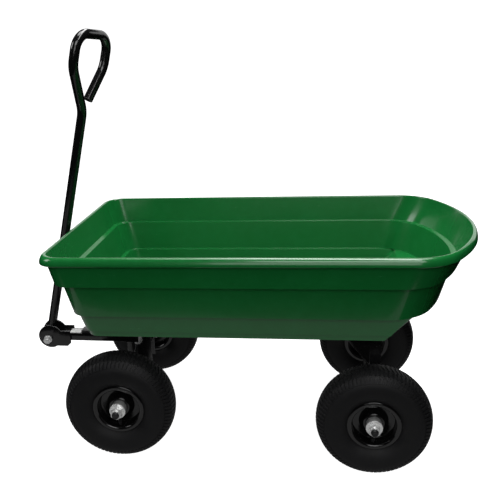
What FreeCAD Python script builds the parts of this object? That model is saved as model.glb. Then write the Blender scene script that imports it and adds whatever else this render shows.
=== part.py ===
import FreeCAD, Part
import math
import os
from FreeCAD import Vector

os.makedirs("parts", exist_ok=True)

# Four-wheeled garden dump cart. +X points to the rear (the dumping nose), +Y to the cart's
# far side, +Z up. The model is built with the rear axle at X = 0 and the ground at Z = 0,
# and is moved at the end so that its origin is under the middle of its bounding box.

# ---------------------------------------------------------------- driving dimensions (mm)
wheelbase = 594.0
track = 414.0
rest_steer = 3.25           # degrees that the front axle is turned at rest
steer_limit = 18.0          # degrees each way from straight ahead
deck_tilt = 2.1             # degrees that the rails and tub slope down to the front

# tyre and wheel, size 4.10/3.50-4
tyre_radius = 129.0
tyre_width = 83.5
tyre_wall = 7.0
bead_width = 9.0
bead_gap = 0.3
rim_flange_radius = 60.0
rim_seat_radius = 50.8
flange_inset = 10.25        # from the tyre's widest point in to the rim's flange
rim_sheet = 2.5
rim_cone_foot = 31.0
rim_cone_top = 23.5
rim_cone_height = 20.0
inner_tube_wall = 2.0
valve_radius = 3.0
valve_cap_radius = 4.0
hub_radius = 17.5
hub_wall = 3.0
hub_half_length = 36.0
bearing_width = 11.0
running_gap = 0.06
end_play = 0.4

# axles
axle_radius = 8.0
axle_beam = 25.0
axle_beam_wall = 2.5
leg_gap_to_tyre = 17.25
washer_radius = 18.5
washer_thickness = 3.0
nut_across_flats = 24.0
nut_height = 14.0
thread_stickout = 5.0

# rails and rear hinge
rail_size = 25.0
rail_wall = 2.0
rail_gap_to_tub = 0.4
rail_front_overhang = 74.0  # rails ahead of the kingpin
hinge_x = 2.0
hinge_rod_radius = 5.0
bracket_sheet = 3.0
bracket_side_gap = 0.5
tub_bolt_radius = 3.0

# tub
tub_wall = 4.0
tub_over_tyre = 68.0        # from the top of the rear tyres up to the tub's underside
tub_depth = 200.0
rim_half = 261.0
rim_front_overhang = 135.0  # tub rim ahead of the kingpin
rim_rear_x = 225.0
rim_lip_height = 19.0
rim_lip_reach = 8.0
rim_round = 6.0
ramp_start_x = 12.0
ramp_angle = 45.7

# turntable and front axle carrier
cross_plate_sheet = 4.0
cross_plate_length = 90.0
kingpin_radius = 8.0
turntable_radius = 38.0
turntable_washer = 3.7
carrier_sheet = 5.0
carrier_front = -24.0
carrier_rear = 38.0

# drawbar, coupling and handle
drawbar_width = 33.0
drawbar_height = 20.0
drawbar_wall = 2.5
drawbar_over_axle = 73.4
drawbar_front = -196.0
drawbar_rear = 30.0
coupling_sheet = 4.0
coupling_radius = 31.0
coupling_tail = -173.0
handle_pivot_u = -232.5
handle_pivot_drop = 6.4     # pivot below the middle of the drawbar
handle_rest_gap = 0.9       # from the shaft to the tub's rim at full steering lock
handle_tube_radius = 11.0
handle_tube_wall = 1.8
handle_shaft = 594.0
grip_half_width = 60.0
grip_shoulder = 102.0
grip_height = 174.0
grip_corner = 36.0
grip_twist = -19.0
pivot_bolt_radius = 5.0

# places that follow from the sizes above
axle_z = tyre_radius
cross_plate_z = 2 * tyre_radius
drawbar_mid_z = axle_z + drawbar_over_axle
handle_pivot_z = drawbar_mid_z - handle_pivot_drop
tub_bottom_z = 2 * tyre_radius + tub_over_tyre
tub_top_z = tub_bottom_z + tub_depth
rim_front_x = -wheelbase - rim_front_overhang
rim_half_width = tyre_width / 2 - flange_inset
leg_offset_y = track / 2 - tyre_width / 2 - leg_gap_to_tyre - rail_size / 2
rail_front_x = -wheelbase - rail_front_overhang
deck_pivot_z = tub_bottom_z - 26.0

X_AXIS = Vector(1, 0, 0)
Y_AXIS = Vector(0, 1, 0)
Z_AXIS = Vector(0, 0, 1)
ORIGIN = Vector(0, 0, 0)
nodes = {}


# ---------------------------------------------------------------- helpers
def box(x0, x1, y0, y1, z0, z1):
    return Part.makeBox(x1 - x0, y1 - y0, z1 - z0, Vector(x0, y0, z0))


def rod(radius, start, end):
    start, end = Vector(*start), Vector(*end)
    return Part.makeCylinder(radius, (end - start).Length, start, end - start)


def tube(outer, inner, start, end):
    return rod(outer, start, end).cut(rod(inner, start, end))


def hexagon_y(across_flats, x, y0, y1, z):
    """A hexagonal prism along Y, with two flats level."""
    radius = across_flats / math.sqrt(3)
    angles = [math.radians(60 * i) for i in range(7)]
    points = [Vector(x + radius * math.cos(a), y0, z + radius * math.sin(a)) for a in angles]
    return Part.Face(Part.makePolygon(points)).extrude(Vector(0, y1 - y0, 0))


def hexagon_z(across_flats, x, y, z0, z1):
    radius = across_flats / math.sqrt(3)
    angles = [math.radians(60 * i) for i in range(7)]
    points = [Vector(x + radius * math.cos(a), y + radius * math.sin(a), z0) for a in angles]
    return Part.Face(Part.makePolygon(points)).extrude(Vector(0, 0, z1 - z0))


def fuse(shapes):
    result = shapes[0]
    if len(shapes) > 1:
        result = shapes[0].multiFuse(shapes[1:])
    return result.removeSplitter()


def group(shapes):
    return Part.makeCompound(shapes)


def mirrored(shape):
    return shape.mirror(ORIGIN, Y_AXIS)


def deck(shape):
    """Slope a shape that was built level down to the front with the rails and tub."""
    shape = shape.copy()
    shape.rotate(Vector(0, 0, deck_pivot_z), Y_AXIS, -deck_tilt)
    return shape


def steered(shape):
    """Turn a shape built about the kingpin and stand it at the front axle."""
    shape = shape.copy()
    shape.rotate(ORIGIN, Z_AXIS, rest_steer)
    shape.translate(Vector(-wheelbase, 0, 0))
    return shape


def revolve(points, arcs=()):
    """Revolve a closed outline of (y, radius) points about Y. arcs names the corners that
    are the middle of a three-point arc instead of a corner."""
    edges = []
    count = len(points)
    i = 0
    while i < count:
        start = Vector(points[i][1], points[i][0], 0)
        if (i + 1) % count in arcs:
            middle = Vector(points[(i + 1) % count][1], points[(i + 1) % count][0], 0)
            end = Vector(points[(i + 2) % count][1], points[(i + 2) % count][0], 0)
            edges.append(Part.Arc(start, middle, end).toShape())
            i += 2
        else:
            end = Vector(points[(i + 1) % count][1], points[(i + 1) % count][0], 0)
            edges.append(Part.LineSegment(start, end).toShape())
            i += 1
    return Part.Face(Part.Wire(edges)).revolve(ORIGIN, Y_AXIS, 360)


# ---------------------------------------------------------------- tub
def plan(front, half, tip, z, front_corner, nose_corner, nose):
    """Plan outline at height z: straight front and sides, rounded front corners, and a nose
    of one wide arc that runs into the sides through two smaller ones."""
    side = half - nose_corner
    reach = math.sqrt((nose - nose_corner) ** 2 - side ** 2)
    arc_x = tip - nose
    corner_x = arc_x + reach
    angle = math.atan2(side, reach)
    join = Vector(arc_x + nose * math.cos(angle), nose * math.sin(angle), z)
    half_angle = (math.pi / 2 + angle) / 2
    bulge = Vector(corner_x + nose_corner * math.cos(half_angle),
                   side + nose_corner * math.sin(half_angle), z)
    k = front_corner * (1 - math.sqrt(0.5))

    def flip(p):
        return Vector(p.x, -p.y, p.z)

    side_start = Vector(front + front_corner, half, z)
    side_end = Vector(corner_x, half, z)
    front_end = Vector(front, half - front_corner, z)
    front_mid = Vector(front + k, half - k, z)
    edges = [
        Part.LineSegment(flip(side_start), flip(side_end)),
        Part.Arc(flip(side_end), flip(bulge), flip(join)),
        Part.Arc(flip(join), Vector(tip, 0, z), join),
        Part.Arc(join, bulge, side_end),
        Part.LineSegment(side_end, side_start),
        Part.Arc(side_start, front_mid, front_end),
        Part.LineSegment(front_end, flip(front_end)),
        Part.Arc(flip(front_end), flip(front_mid), flip(side_start)),
    ]
    return Part.Wire([edge.toShape() for edge in edges])


# Each tier of the wall: (top, bottom), and each of those is
# (height above the tub's underside, front x, half width, nose tip x).

def tier_row(height, front_inset, side_inset, nose_inset):
    """A level of the wall, set in from the rim's edge at the front, the sides and the nose."""
    return (height, rim_front_x + front_inset, rim_half - side_inset, rim_rear_x - nose_inset)


upper_ledge = 0.655 * tub_depth
lower_ledge = 0.2825 * tub_depth
foot_height = 13.0
tiers = [
    (tier_row(tub_depth, rim_lip_reach, rim_lip_reach, rim_lip_reach),
     tier_row(upper_ledge, 23.0, 11.5, 38.0)),
    (tier_row(upper_ledge, 36.0, 21.5, 51.0), tier_row(lower_ledge, 53.0, 27.0, 73.0)),
    (tier_row(lower_ledge, 66.0, 37.0, 50.0), tier_row(foot_height, 82.0, 42.0, 58.0)),
    (tier_row(foot_height, 85.0, 45.0, 70.0), tier_row(0.0, 88.0, 46.5, 72.0)),
]
front_corner_radius = 42.0
nose_corner_radius = 105.0
nose_radius = 375.0


def tub_plan(row, inset):
    height, front, half, tip = row
    return plan(front + inset, half - inset, tip - inset, tub_bottom_z + height,
                front_corner_radius - inset, nose_corner_radius - inset, nose_radius - inset)


def tub_body(inset, lift):
    """The stack of tiers, drawn in by inset and raised by lift, cut off by the rear ramp."""
    solids = []
    for top, bottom in tiers:
        wires = [tub_plan(bottom, inset), tub_plan(top, inset)]
        solids.append(Part.makeLoft(wires, True, True))
    body = fuse(solids)
    body.translate(Vector(0, 0, lift))
    return body


def ramp_cutter(offset):
    """A block behind the ramp plane, shifted along the plane's normal by offset."""
    length = 400.0
    block = box(0, length, -400, 400, -length, 0)
    block.rotate(ORIGIN, Y_AXIS, -ramp_angle)
    shift = offset / math.sin(math.radians(ramp_angle))
    block.translate(Vector(ramp_start_x - shift, 0, tub_bottom_z))
    return block.common(box(-400, 400, -400, 400, tub_bottom_z - 100, tub_bottom_z + lower_ledge + offset))


def make_tub():
    outer = tub_body(0, 0).cut(ramp_cutter(0))
    inner = tub_body(tub_wall, tub_wall)
    headroom = tub_plan(tiers[0][0], tub_wall)
    headroom.translate(Vector(0, 0, tub_wall / 2))
    above = Part.Face(headroom).extrude(Vector(0, 0, 20))
    inner = fuse([inner, above]).cut(ramp_cutter(tub_wall))
    top = tiers[0][0]
    lip_row = (top[0], rim_front_x, rim_half, rim_rear_x)
    lip_outer = Part.Face(tub_plan(lip_row, 0)).extrude(Vector(0, 0, -rim_lip_height))
    under = Part.Face(tub_plan(lip_row, tub_wall)).extrude(Vector(0, 0, -rim_lip_height))
    under.translate(Vector(0, 0, -tub_wall))
    lip = lip_outer.cut(under)
    shell = outer.fuse(lip).removeSplitter()
    edges = [edge for edge in shell.Edges
             if edge.BoundBox.ZMin > tub_top_z - 0.1 and edge.BoundBox.ZLength < 0.1]
    shell = shell.makeFillet(rim_round, edges)
    return shell.cut(inner)


nodes["tub"] = deck(make_tub())


# ---------------------------------------------------------------- rails, hinge and latch
rail_top = tub_bottom_z - rail_gap_to_tub
rail_bottom = rail_top - rail_size
hinge_z = (rail_top + rail_bottom) / 2
rail_inner_y = leg_offset_y - rail_size / 2
rail_outer_y = leg_offset_y + rail_size / 2


def make_rail():
    half = rail_size / 2

    def profile(inset):
        bar = box(rail_front_x - 1, hinge_x, rail_inner_y + inset, rail_outer_y - inset,
                  rail_bottom + inset, rail_top - inset)
        end = rod(half - inset, (hinge_x, rail_inner_y + inset, hinge_z),
                  (hinge_x, rail_outer_y - inset, hinge_z))
        return bar.fuse(end)

    rail = profile(0).cut(profile(rail_wall))
    rail = rail.cut(box(rail_front_x - 2, rail_front_x, 0, 200, rail_bottom, rail_top))
    bore = rod(hinge_rod_radius + running_gap, (hinge_x, 100, hinge_z), (hinge_x, 180, hinge_z))
    return rail.cut(bore).removeSplitter()


right_rail = deck(make_rail())
nodes["right_rail"] = right_rail
nodes["left_rail"] = mirrored(right_rail)

# everything that stands under the rails is trimmed along their sloping underside
under_rails = deck(box(-900, 200, -300, 300, rail_bottom, rail_bottom + 200))

cap_thickness = 3.0
cap_inner_y = rail_outer_y + end_play
rod_end_y = cap_inner_y + cap_thickness + 1.0
nodes["hinge_rod"] = deck(rod(hinge_rod_radius, (hinge_x, -rod_end_y, hinge_z),
                              (hinge_x, rod_end_y, hinge_z)))
hinge_cap = tube(hinge_rod_radius + 4.0, hinge_rod_radius, (hinge_x, cap_inner_y, hinge_z),
                 (hinge_x, cap_inner_y + cap_thickness, hinge_z))
nodes["hinge_rod_caps"] = deck(group([hinge_cap, mirrored(hinge_cap)]))


def tub_bracket():
    """A folded bracket on the underside of the tub that hangs on the hinge rod."""
    outer = rail_inner_y - bracket_side_gap
    inner = outer - bracket_sheet
    eye = hinge_rod_radius + 6.0
    flange = box(hinge_x - 52, hinge_x + 10, outer - 30, outer,
                 tub_bottom_z - bracket_sheet, tub_bottom_z)
    web = box(hinge_x - 28, hinge_x + eye - 1, inner, outer, hinge_z, tub_bottom_z)
    lug = rod(eye, (hinge_x, inner, hinge_z), (hinge_x, outer, hinge_z))
    heel = rod(8.0, (hinge_x - 20, inner, hinge_z + 2), (hinge_x - 20, outer, hinge_z + 2))
    bracket = fuse([flange, web, lug, heel])
    bore = rod(hinge_rod_radius + running_gap, (hinge_x, 0, hinge_z), (hinge_x, 200, hinge_z))
    return bracket.cut(bore)


bracket = tub_bracket()
bracket_bolt_y = rail_inner_y - bracket_side_gap - 18.0
bracket_bolt_xs = (hinge_x - 42.0, hinge_x - 8.0)

latch_x = -wheelbase - 25.0
latch_z = tub_bottom_z - 19.0
latch_radius = 5.0
latch_travel = 16.0
latch_tip_gap = 2.5
tongue_sheet = 4.0
tongue_half = 9.0
ear_sheet = 4.0
ear_faces = (-34.0, -10.0, 6.0)
tongue_bolt_xs = (latch_x - 32.0, latch_x + 32.0)

tongue = fuse([
    box(latch_x - 42, latch_x + 42, -15, 15, tub_bottom_z - bracket_sheet, tub_bottom_z),
    box(latch_x - tongue_half, latch_x + tongue_half, -tongue_sheet / 2, tongue_sheet / 2,
        latch_z - 8, tub_bottom_z - bracket_sheet),
])
tongue = tongue.cut(rod(latch_radius + 0.8, (latch_x, -20, latch_z), (latch_x, 20, latch_z)))


def tub_bolt(x, y):
    """A countersunk bolt that ends flush with the floor of the tub."""
    sink = tub_bolt_radius
    floor = tub_bottom_z + tub_wall
    head = Part.makeCone(tub_bolt_radius, tub_bolt_radius + sink, sink,
                         Vector(x, y, floor - sink))
    shank = rod(tub_bolt_radius, (x, y, tub_bottom_z - bracket_sheet - 7), (x, y, floor - sink))
    return head.fuse(shank).removeSplitter()


def tub_nut(x, y):
    low = tub_bottom_z - bracket_sheet - 5
    nut = hexagon_z(10.0, x, y, low, low + 5)
    return nut.cut(rod(tub_bolt_radius, (x, y, low - 1), (x, y, low + 6)))


bolt_spots = [(x, y) for x in bracket_bolt_xs for y in (bracket_bolt_y, -bracket_bolt_y)]
bolt_spots += [(x, 0.0) for x in tongue_bolt_xs]
holes = group([tub_bolt(x, y) for x, y in bolt_spots])
nodes["tub"] = nodes["tub"].cut(deck(holes))
nodes["tub_hinge_brackets"] = deck(group([bracket.cut(holes), mirrored(bracket).cut(holes)]))
nodes["latch_tongue"] = deck(tongue.cut(holes))
nodes["tub_bolts"] = deck(group([tub_bolt(x, y) for x, y in bolt_spots]))
nodes["tub_nuts"] = deck(group([tub_nut(x, y) for x, y in bolt_spots]))

cross_web_top = cross_plate_z + cross_plate_sheet


def make_cross_member():
    """A shallow channel across the rails that carries the kingpin."""
    half = cross_plate_length / 2
    y = rail_outer_y
    front, rear = -wheelbase - half, -wheelbase + half
    sheet = cross_plate_sheet
    parts = [
        box(front, rear, -y, y, cross_plate_z, cross_web_top),
        box(front, front + sheet, -y, y, cross_plate_z, cross_web_top + 8),
        box(rear - sheet, rear, -y, y, cross_plate_z, cross_web_top + 8),
    ]
    for side in (-1, 1):
        low, high = sorted((side * rail_inner_y, side * rail_outer_y))
        parts.append(box(front, rear, low, high, cross_plate_z, cross_plate_z + 60))
    member = fuse(parts).cut(under_rails)
    bore = rod(kingpin_radius, (-wheelbase, 0, cross_plate_z - 1),
               (-wheelbase, 0, cross_web_top + 1))
    return member.cut(bore)


nodes["front_cross_member"] = make_cross_member()

ears = [box(latch_x - tongue_half, latch_x + tongue_half, y, y + ear_sheet,
            latch_z - 60, latch_z + 9) for y in ear_faces]
foot = box(latch_x - tongue_half, latch_x + tongue_half, ear_faces[0], ear_faces[2] + ear_sheet,
           latch_z - 60, latch_z - 16)
latch_bore = rod(latch_radius + running_gap, (latch_x, -60, latch_z), (latch_x, 60, latch_z))
below_web = box(-900, 200, -300, 300, 0, cross_web_top)
nodes["latch_bracket"] = deck(fuse(ears + [foot]).cut(latch_bore)).cut(below_web)

latch_tip = -tongue_sheet / 2 - latch_tip_gap
latch_tail = ear_faces[0] - latch_travel - 6.5
pull_ring_radius = 11.0
pull_ring_wire = 1.5
pull_hole = rod(pull_ring_wire + 1.3, (latch_x, latch_tail + 4, latch_z - 10),
                (latch_x, latch_tail + 4, latch_z + 10))
nodes["latch_bolt"] = deck(rod(latch_radius, (latch_x, latch_tail, latch_z),
                               (latch_x, latch_tip, latch_z)).cut(pull_hole))
pull_ring = Part.makeTorus(pull_ring_radius, pull_ring_wire,
                           Vector(latch_x, latch_tail + 4 - pull_ring_radius, latch_z), X_AXIS)
nodes["latch_pull_ring"] = deck(pull_ring)

# ---------------------------------------------------------------- axles
hub_inner_y = track / 2 - hub_half_length
hub_outer_y = track / 2 + hub_half_length
inner_washer_y = hub_inner_y - end_play - washer_thickness
outer_washer_y = hub_outer_y + end_play
nut_y = outer_washer_y + washer_thickness
collar_height = 3.0
axle_end_y = nut_y + nut_height + collar_height + thread_stickout


def make_beam():
    """The square axle beam with closed ends, without its bore."""
    half = axle_beam / 2
    cavity = half - axle_beam_wall
    plug = 8.0
    beam = box(-half, half, -inner_washer_y, inner_washer_y, axle_z - half, axle_z + half)
    hollow = box(-cavity, cavity, -inner_washer_y + plug, inner_washer_y - plug,
                 axle_z - cavity, axle_z + cavity)
    return beam.cut(hollow)


axle_bore = rod(axle_radius + 0.03, (0, -200, axle_z), (0, 200, axle_z))
axle_rod = rod(axle_radius, (0, -axle_end_y, axle_z), (0, axle_end_y, axle_z))


def axle_washers():
    rings = []
    for start in (inner_washer_y, outer_washer_y):
        ring = tube(washer_radius, axle_radius, (0, start, axle_z),
                    (0, start + washer_thickness, axle_z))
        rings += [ring, mirrored(ring)]
    return group(rings)


def axle_nuts():
    nut = hexagon_y(nut_across_flats, 0, nut_y, nut_y + nut_height, axle_z)
    collar = rod(nut_across_flats / 2 - 1, (0, nut_y + nut_height, axle_z),
                 (0, nut_y + nut_height + collar_height, axle_z))
    nut = fuse([nut, collar]).cut(axle_rod)
    return group([nut, mirrored(nut)])


def make_rear_support():
    """The axle beam with two upright legs, a brace ahead of each, and a tie between them."""
    half = axle_beam / 2
    parts = [make_beam()]
    sheet = 4.0
    brace_front = -half - 51.5
    brace_foot = rail_bottom - 72.6
    brace_toe = rail_bottom - 14.6
    tie_z = rail_bottom - 38.6
    outline = [Vector(-half, 0, brace_foot), Vector(-half, 0, rail_top),
               Vector(brace_front, 0, rail_top), Vector(brace_front, 0, brace_toe),
               Vector(-half, 0, brace_foot)]
    for side in (-1, 1):
        y = side * leg_offset_y
        parts.append(box(-half, half, y - half, y + half, axle_z + half, rail_top))
        brace = Part.Face(Part.makePolygon(outline)).extrude(Vector(0, sheet, 0))
        brace.translate(Vector(0, y - sheet / 2, 0))
        parts.append(brace)
    parts.append(box(-half, half, -leg_offset_y, leg_offset_y, tie_z, tie_z + sheet))
    return fuse(parts).cut(under_rails).cut(axle_bore)


nodes["rear_axle_support"] = make_rear_support()
nodes["rear_axle"] = axle_rod
nodes["rear_axle_washers"] = axle_washers()
nodes["rear_axle_nuts"] = axle_nuts()

# ---------------------------------------------------------------- turntable and front axle
washer_top = cross_plate_z - end_play
carrier_top = washer_top - turntable_washer
carrier_under = carrier_top - carrier_sheet
cheek_inner = drawbar_width / 2 + 0.3
cheek_outer = cheek_inner + carrier_sheet
drawbar_bottom = drawbar_mid_z - drawbar_height / 2
drawbar_top = drawbar_mid_z + drawbar_height / 2


def make_carrier():
    half = axle_beam / 2
    parts = [make_beam(), rod(turntable_radius, (0, 0, carrier_under), (0, 0, carrier_top))]
    rib_top = drawbar_mid_z - 14
    gusset = [Vector(0, cheek_outer, rib_top), Vector(0, cheek_outer, axle_z + half),
              Vector(0, cheek_outer + 66, axle_z + half), Vector(0, cheek_outer, rib_top)]
    rib = Part.Face(Part.makePolygon(gusset)).extrude(Vector(carrier_sheet, 0, 0))
    rib.translate(Vector(-carrier_sheet / 2, 0, 0))
    for side in (-1, 1):
        low, high = sorted((side * cheek_inner, side * cheek_outer))
        parts.append(box(carrier_front, carrier_rear, low, high, axle_z + half, carrier_under))
    parts += [rib, mirrored(rib)]
    parts.append(box(carrier_front, carrier_rear, -cheek_inner, cheek_inner,
                     drawbar_bottom - 0.2 - carrier_sheet, drawbar_bottom - 0.2))
    carrier = fuse(parts)
    pin_bore = rod(kingpin_radius + running_gap, (0, 0, carrier_under - 1), (0, 0, carrier_top + 1))
    return carrier.cut(pin_bore).cut(drawbar_bolt_bore).cut(axle_bore)


drawbar_bolt_u = 5.0
drawbar_bolt_radius = 5.0
drawbar_bolt_bore = rod(drawbar_bolt_radius + 0.03, (drawbar_bolt_u, -60, drawbar_mid_z),
                        (drawbar_bolt_u, 60, drawbar_mid_z))
nodes["front_axle_carrier"] = steered(make_carrier())
nodes["front_axle"] = steered(axle_rod)
nodes["front_axle_washers"] = steered(axle_washers())
nodes["front_axle_nuts"] = steered(axle_nuts())
nodes["turntable_washer"] = steered(tube(turntable_radius - 3, kingpin_radius + running_gap,
                                         (0, 0, carrier_top), (0, 0, washer_top)))

kingpin_nut_top = carrier_under - end_play
head = hexagon_z(nut_across_flats, -wheelbase, 0, cross_web_top, cross_web_top + 9)
shank = rod(kingpin_radius, (-wheelbase, 0, kingpin_nut_top - 20), (-wheelbase, 0, cross_web_top))
nodes["kingpin"] = head.fuse(shank).removeSplitter()
nut_body = hexagon_z(nut_across_flats, -wheelbase, 0, kingpin_nut_top - 16, kingpin_nut_top - 2.5)
nut_flange = rod(15.0, (-wheelbase, 0, kingpin_nut_top - 2.5), (-wheelbase, 0, kingpin_nut_top))
nodes["kingpin_nut"] = fuse([nut_body, nut_flange]).cut(shank)

# ---------------------------------------------------------------- drawbar and coupling
drawbar = box(drawbar_front, drawbar_rear, -drawbar_width / 2, drawbar_width / 2,
              drawbar_bottom, drawbar_top)
hollow = box(drawbar_front - 1, drawbar_rear + 1, -drawbar_width / 2 + drawbar_wall,
             drawbar_width / 2 - drawbar_wall, drawbar_bottom + drawbar_wall,
             drawbar_top - drawbar_wall)
nodes["drawbar"] = steered(drawbar.cut(hollow).cut(drawbar_bolt_bore))


def cross_bolt(radius, across_flats, u, z, grip, head_height, nut_height_here):
    """A bolt along Y with its head on the far side, and its nut on the near side. grip is
    half the clamped width."""
    washer = 2.0
    end = -grip - washer - nut_height_here - 2.0
    bolt = fuse([
        rod(radius, (u, end, z), (u, grip + 0.1, z)),
        hexagon_y(across_flats, u, grip, grip + head_height, z),
    ])
    nut = fuse([
        hexagon_y(across_flats, u, -grip - washer - nut_height_here, -grip - washer, z),
        rod(across_flats * 0.62, (u, -grip - washer, z), (u, -grip, z)),
    ])
    return bolt, nut.cut(rod(radius, (u, end - 1, z), (u, grip, z)))


bolt, nut = cross_bolt(drawbar_bolt_radius, 17.0, drawbar_bolt_u, drawbar_mid_z,
                       cheek_outer, 7.0, 8.0)
nodes["drawbar_bolt"] = steered(bolt)
nodes["drawbar_nut"] = steered(nut)

coupling_inner = drawbar_width / 2
coupling_outer = coupling_inner + coupling_sheet
coupling_u = handle_pivot_u + 7.0
coupling_z = handle_pivot_z + 7.3


def coupling_plate():
    """A round-headed side plate of the handle coupling, with a tail along the drawbar."""
    low = drawbar_bottom - 15.4
    high = drawbar_top + 6.8
    corner = 9.0
    outline = [Vector(coupling_u, coupling_inner, low),
               Vector(coupling_tail - corner, coupling_inner, low),
               Vector(coupling_tail, coupling_inner, low + corner),
               Vector(coupling_tail, coupling_inner, high),
               Vector(coupling_u, coupling_inner, high),
               Vector(coupling_u, coupling_inner, low)]
    tail = Part.Face(Part.makePolygon(outline)).extrude(Vector(0, coupling_sheet, 0))
    disc = rod(coupling_radius, (coupling_u, coupling_inner, coupling_z),
               (coupling_u, coupling_outer, coupling_z))
    bore = rod(pivot_bolt_radius + 0.03, (handle_pivot_u, 0, handle_pivot_z),
               (handle_pivot_u, 60, handle_pivot_z))
    return fuse([tail, disc]).cut(bore)


plate = coupling_plate()
nodes["coupling_right_plate"] = steered(plate)
nodes["coupling_left_plate"] = steered(mirrored(plate))

bolt, nut = cross_bolt(pivot_bolt_radius, 17.0, handle_pivot_u, handle_pivot_z,
                       coupling_outer, 6.0, 8.0)
nodes["handle_pivot_bolt"] = steered(bolt)
nodes["handle_pivot_nut"] = steered(nut)
spacer = tube(pivot_bolt_radius + 4.0, pivot_bolt_radius,
              (handle_pivot_u, handle_tube_radius + end_play, handle_pivot_z),
              (handle_pivot_u, coupling_inner, handle_pivot_z))
nodes["handle_spacers"] = steered(group([spacer, mirrored(spacer)]))


# ---------------------------------------------------------------- handle
def resting_lean():
    """The angle at which the shaft leans back until it stands just clear of the tub's rim,
    with the front axle turned as far as it goes."""
    rim = deck(Part.Vertex(rim_front_x, 0, tub_top_z - rim_round)).Point
    lock = math.cos(math.radians(steer_limit))
    reach_x = rim.x + wheelbase - handle_pivot_u * lock
    reach_z = rim.z - handle_pivot_z
    margin = (handle_tube_radius + handle_rest_gap) / math.hypot(reach_x, reach_z)
    lean = math.atan2(reach_x, reach_z) - math.asin(margin)
    return math.degrees(math.atan(math.tan(lean) / lock))


handle_lean = resting_lean()


def bent_path(points, radii):
    """A wire through points with a tangent arc of the given radius at each inner point."""
    edges = []
    start = points[0]
    for before, corner, after, radius in zip(points, points[1:], points[2:], radii):
        to_before = (before - corner).normalize()
        to_after = (after - corner).normalize()
        half_turn = (math.pi - to_before.getAngle(to_after)) / 2
        leg = radius * math.tan(half_turn)
        first = corner + to_before * leg
        last = corner + to_after * leg
        bisector = (to_before + to_after).normalize()
        centre = corner + bisector * (radius / math.cos(half_turn))
        edges.append(Part.LineSegment(start, first).toShape())
        edges.append(Part.Arc(first, centre - bisector * radius, last).toShape())
        start = last
    edges.append(Part.LineSegment(start, points[-1]).toShape())
    return Part.Wire(edges)


def swept(path, radius):
    start = path.Edges[0].valueAt(path.Edges[0].FirstParameter)
    heading = path.Edges[0].tangentAt(path.Edges[0].FirstParameter)
    circle = Part.Wire(Part.makeCircle(radius, start, heading))
    return path.makePipeShell([circle], True, False)


def pose_handle(shape):
    shape = shape.copy()
    shape.rotate(ORIGIN, Y_AXIS, handle_lean)
    shape.translate(Vector(handle_pivot_u, 0, handle_pivot_z))
    return steered(shape)


def make_handle():
    """Pull tube with a long D-shaped grip bent at its top, and the plug in its open end."""
    w, top = grip_half_width, grip_height
    tail_share = 0.27
    knee = handle_shaft
    flat = [(0, -14), (0, knee), (-w, knee + grip_shoulder), (-w, knee + top),
            (w, knee + top), (w, knee + grip_shoulder),
            (w * tail_share, knee + grip_shoulder * tail_share)]
    points = [Vector(0, a, b) for a, b in flat]
    path = bent_path(points, (60.0, 60.0, grip_corner, grip_corner, 60.0))
    outer = swept(path, handle_tube_radius)
    inner = swept(path, handle_tube_radius - handle_tube_wall)
    tip = points[-1]
    heading = (points[-1] - points[-2]).normalize()
    plug_depth = 16.0
    bore = handle_tube_radius - handle_tube_wall - 0.1
    plug = rod(bore, tuple(tip - heading * plug_depth), tuple(tip))
    cap = rod(handle_tube_radius, tuple(tip), tuple(tip + heading * 2.0))
    plug = fuse([plug, cap])
    pin_bore = rod(pivot_bolt_radius + running_gap, (0, -30, 0), (0, 30, 0))
    tube_shape = outer.cut(inner)
    for shape in (tube_shape, plug):
        shape.rotate(ORIGIN, Z_AXIS, grip_twist)
    return tube_shape.cut(pin_bore), plug


handle_shape, plug_shape = make_handle()
nodes["handle_tube"] = pose_handle(handle_shape)
nodes["handle_end_plug"] = pose_handle(plug_shape)


# ---------------------------------------------------------------- wheels
bead_y = rim_half_width - rim_sheet - bead_gap
bead_inner_y = bead_y - bead_width
seat = rim_seat_radius
shoulder_y = tyre_width / 2 - 10.5
shoulder_radius = tyre_radius - 7.0
bulge_radius = 92.0


def cavity_outline(inset):
    """The hollow of the tyre down to the rim seat, drawn in by inset."""
    low = seat + bead_gap + inset
    b = bead_inner_y - inset
    bulge = tyre_width / 2 - tyre_wall - inset
    s = shoulder_y - tyre_wall - inset * 0.6
    crown = tyre_radius - tyre_wall - inset
    edge = shoulder_radius - tyre_wall - inset
    foot = rim_flange_radius + 1.0
    return [(-b, low), (-b, foot), (-bulge, bulge_radius), (-s, edge), (0, crown),
            (s, edge), (bulge, bulge_radius), (b, foot), (b, low)]


cavity_arcs = (2, 4, 6)


def make_tyre():
    half = tyre_width / 2
    foot = rim_flange_radius + 1.0
    low = seat + bead_gap
    outline = [(-bead_y, low), (-bead_y, foot), (-half, bulge_radius),
               (-shoulder_y, shoulder_radius), (0, tyre_radius), (shoulder_y, shoulder_radius),
               (half, bulge_radius), (bead_y, foot), (bead_y, low)]
    return revolve(outline, cavity_arcs).cut(revolve(cavity_outline(0), cavity_arcs))


valve_start = Vector(0, -15, -(seat + 4))
valve_end = Vector(0, -23, -(seat - 16))


def make_inner_tube():
    shell = revolve(cavity_outline(0.3), cavity_arcs)
    shell = shell.cut(revolve(cavity_outline(0.3 + inner_tube_wall), cavity_arcs))
    stem = rod(valve_radius, tuple(valve_start), tuple(valve_end))
    heading = (valve_end - valve_start).normalize()
    cap = rod(valve_cap_radius, tuple(valve_end - heading * 8), tuple(valve_end))
    return fuse([shell, stem, cap])


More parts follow.
